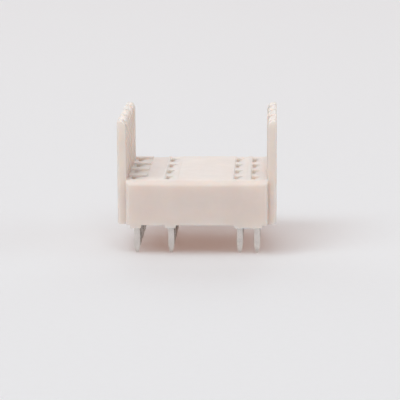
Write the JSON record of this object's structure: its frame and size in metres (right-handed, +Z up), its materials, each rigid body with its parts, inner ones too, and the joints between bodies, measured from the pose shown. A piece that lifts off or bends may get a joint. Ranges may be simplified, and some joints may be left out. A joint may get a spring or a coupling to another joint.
{
  "type": "relay socket",
  "caption": "Ivory moulded circuit board socket for a plug-in relay, with end walls, a field of blade slots and flat pointed solder tails.",
  "frame": {"origin": "middle of the footprint at the tips of the contact tails", "axes": "+X to the right along the width from wall to wall, +Y to the back along the contact columns, +Z up out of the blade slots"},
  "size_m": [0.0232, 0.0222, 0.0201],
  "materials": {
    "housing_plastic": "ivory glass-filled polyester, satin as moulded",
    "tinned_bronze": "matt tin plating over bronze strip"
  },
  "bodies": {
    "root": {"housing": "housing_plastic", "contact_row1_column1": "tinned_bronze", "contact_row1_column2": "tinned_bronze", "contact_row1_column3": "tinned_bronze", "contact_row1_column4": "tinned_bronze", "contact_row2_column1": "tinned_bronze", "contact_row2_column2": "tinned_bronze", "contact_row2_column3": "tinned_bronze", "contact_row2_column4": "tinned_bronze", "contact_row3_column1": "tinned_bronze", "contact_row3_column2": "tinned_bronze", "contact_row3_column3": "tinned_bronze", "contact_row3_column4": "tinned_bronze", "contact_row4_column1": "tinned_bronze", "contact_row4_column2": "tinned_bronze", "contact_row4_column3": "tinned_bronze", "contact_row4_column4": "tinned_bronze"}
  },
  "joints": []
}
